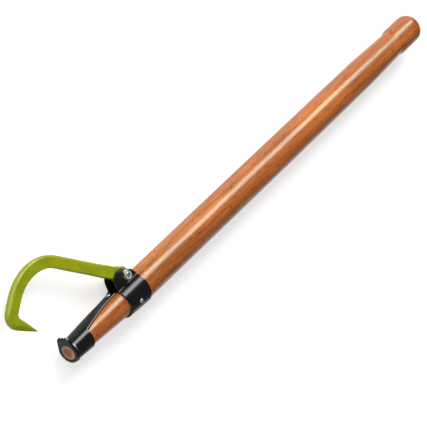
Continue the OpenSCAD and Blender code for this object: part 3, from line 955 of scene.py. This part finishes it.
def make_insert():
    inner = BOLT_R + THREAD_GAP
    low, high = INSERT_Z, INSERT_Z + INSERT_H
    outline = [
        (low, inner),
        (low, INSERT_R),
        (high - INSERT_CHAMFER, INSERT_R),
        (high, INSERT_R - INSERT_CHAMFER),
        (high, inner + INSERT_LEAD),
        (high - INSERT_LEAD, inner),
        (low, inner),
    ]
    shape = lathe(outline, "Z", INSERT_STEPS)
    bmesh.ops.translate(shape, vec=(PIVOT.x, PIVOT.y, EAR_Z), verts=shape.verts)
    finished("nylon_ring", shape, NYLON, ["nut_insert"])


def screw_shape():
    """A round-headed wood screw with a cross recess, its head's flat face at z = 0."""
    outline = [
        (-SCREW_LEN, 0),
        (-SCREW_LEN, SCREW_TIP_R),
        (SCREW_TIP_LEN - SCREW_LEN, SCREW_R),
        (0, SCREW_R),
        (0, SCREW_HEAD_R - SCREW_RIM_EASE),
        (SCREW_RIM_H, SCREW_HEAD_R),
    ]
    dome_h = SCREW_HEAD_H - SCREW_DOME_Z
    for r in SCREW_DOME_RADII:
        outline.append((SCREW_DOME_Z + dome_h * math.sqrt(1 - (r / SCREW_HEAD_R) ** 2), r))
    shape = lathe(outline, "Z", SCREW_STEPS)
    recess = []
    for face in shape.faces:
        spot = face.calc_center_median()
        reach = spot.xy.length
        turned = math.atan2(spot.y, spot.x) % (math.pi / 2)
        on_arm = min(turned, math.pi / 2 - turned) < RECESS_HALF_ANGLE
        if spot.z > RECESS_FROM_Z and (reach < RECESS_CORE_R or (on_arm and reach < RECESS_R)):
            recess.append(face)
    sunk = bmesh.ops.extrude_face_region(shape, geom=recess)["geom"]
    bmesh.ops.delete(shape, geom=[face for face in recess if face.is_valid], context="FACES_ONLY")
    for vert in vertices_in(sunk):
        vert.co.z -= RECESS_DEPTH * (1 - RECESS_RISE * vert.co.xy.length / RECESS_R)
    return shape


def make_screws():
    slope = math.atan((HANDLE_R - TOE_R) / TAPER_LEN)
    band_slope = math.atan((band_r(COLLAR_END) - band_r(COLLAR_X)) / (COLLAR_END - COLLAR_X))
    stand = Matrix.Rotation(-math.pi / 2, 4, "X")
    seat = sleeve_r(STRAP_SCREW_X) + SEAT_GAP
    shape = screw_shape()
    place = Matrix.Translation((STRAP_SCREW_X, seat, 0)) @ Matrix.Rotation(slope, 4, "Z") @ stand
    bmesh.ops.transform(shape, matrix=place, verts=shape.verts)
    finished("strap_screw_round_head", shape, ZINC, ["strap_screw"])
    pair = bmesh.new()
    seat = band_r(COLLAR_SCREW_X) + SEAT_GAP
    for side in (-1, 1):
        place = (
            Matrix.Translation((COLLAR_SCREW_X, 0, 0))
            @ Matrix.Rotation(side * COLLAR_SCREW_ANGLE, 4, "X")
            @ Matrix.Translation((0, seat, 0))
            @ Matrix.Rotation(band_slope, 4, "Z")
            @ stand
        )
        one = screw_shape()
        bmesh.ops.transform(one, matrix=place, verts=one.verts)
        one_mesh = bpy.data.meshes.new("collar_screw")
        one.to_mesh(one_mesh)
        one.free()
        pair.from_mesh(one_mesh)
        bpy.data.meshes.remove(one_mesh)
    finished("collar_screws_round_head", pair, ZINC, ["collar_screws"])


make_handle()
make_toe_sleeve()
make_toe_plate()
make_weld()
make_collar()
make_hook()
make_bolt()
make_nut()
make_insert()
make_screws()


# The floor, the world, the lights and the camera


def floor_lift(tree):
    """How much the floor glows: most for the camera, a little for mirrored or refracted rays."""
    path = tree.nodes.new("ShaderNodeLightPath")
    mirrored = tree.nodes.new("ShaderNodeMath")
    mirrored.operation = "MAXIMUM"
    tree.links.new(path.outputs["Is Glossy Ray"], mirrored.inputs[0])
    tree.links.new(path.outputs["Is Transmission Ray"], mirrored.inputs[1])
    faint = tree.nodes.new("ShaderNodeMath")
    faint.operation = "MULTIPLY"
    faint.inputs[1].default_value = MIRROR_LIFT
    tree.links.new(mirrored.outputs["Value"], faint.inputs[0])
    total = tree.nodes.new("ShaderNodeMath")
    total.operation = "MULTIPLY_ADD"
    total.inputs[1].default_value = CAMERA_LIFT
    tree.links.new(path.outputs["Is Camera Ray"], total.inputs[0])
    tree.links.new(faint.outputs["Value"], total.inputs[2])
    return total.outputs["Value"]


def make_floor():
    shape = bmesh.new()
    bmesh.ops.create_grid(shape, x_segments=1, y_segments=1, size=FLOOR_HALF)
    bmesh.ops.translate(shape, vec=(0, 0, FLOOR_Z * MM), verts=shape.verts)
    mesh = bpy.data.meshes.new("floor")
    shape.to_mesh(mesh)
    shape.free()
    floor = bpy.data.objects.new("floor", mesh)
    bpy.context.collection.objects.link(floor)
    material = bpy.data.materials.new("white_paper")
    material.use_nodes = True
    tree = material.node_tree
    tree.nodes.remove(tree.nodes["Principled BSDF"])
    paper = tree.nodes.new("ShaderNodeBsdfDiffuse")
    paper.inputs["Color"].default_value = (PAPER_TONE, PAPER_TONE, PAPER_TONE, 1)
    lift = tree.nodes.new("ShaderNodeEmission")
    tree.links.new(floor_lift(tree), lift.inputs["Strength"])
    both = tree.nodes.new("ShaderNodeAddShader")
    tree.links.new(paper.outputs["BSDF"], both.inputs[0])
    tree.links.new(lift.outputs["Emission"], both.inputs[1])
    tree.links.new(both.outputs["Shader"], tree.nodes["Material Output"].inputs["Surface"])
    mesh.materials.append(material)


def make_world():
    world = bpy.data.worlds.new("pale_room")
    world.use_nodes = True
    sky = world.node_tree.nodes["Background"]
    sky.inputs["Color"].default_value = (1, 1, 1, 1)
    sky.inputs["Strength"].default_value = ROOM_GLOW
    bpy.context.scene.world = world


def make_softbox(name, place, facing, size, watts):
    """A large soft lamp at a place, facing a direction."""
    lamp = bpy.data.lights.new(name, "AREA")
    lamp.shape = "RECTANGLE"
    lamp.size, lamp.size_y = size
    lamp.energy = watts
    holder = bpy.data.objects.new(name, lamp)
    holder.location = place
    holder.rotation_euler = (-Vector(facing)).to_track_quat("Z", "Y").to_euler()
    bpy.context.collection.objects.link(holder)


def make_camera():
    right = Vector((0.565839, -0.373722, 0.734955))
    up = Vector((0.540333, 0.841368, 0.011832))
    back = Vector((-0.622790, 0.390425, 0.678013))
    place = Vector((-3.172878, 2.289508, 3.974374))
    lens = bpy.data.cameras.new("photo_camera")
    lens.sensor_width = 36
    lens.lens = 252.927
    lens.clip_start = 0.1
    lens.clip_end = 100
    camera = bpy.data.objects.new("photo_camera", lens)
    turn = Matrix((right, up, back)).transposed()
    camera.matrix_world = Matrix.Translation(place) @ turn.to_4x4()
    bpy.context.collection.objects.link(camera)
    bpy.context.scene.camera = camera


make_floor()
make_world()
make_softbox("side_softbox", (-2.2, 4.0, 2.0), (0.45, -0.8, -0.4), (4.0, 3.5), 110)
make_softbox("top_softbox", (-0.5, 3.1, 3.9), (0.1, -0.62, -0.78), (3.0, 1.2), 20)
make_softbox("fill_softbox", (-2.6, -3.1, 2.6), (0.54, 0.65, -0.54), (3.0, 3.0), 40)
make_softbox("strip_softbox", (3.3, 3.17, 2.57), (0, -0.777, -0.629), (5.8, 1.75), 215)
make_camera()
bpy.context.scene.view_settings.view_transform = "Standard"
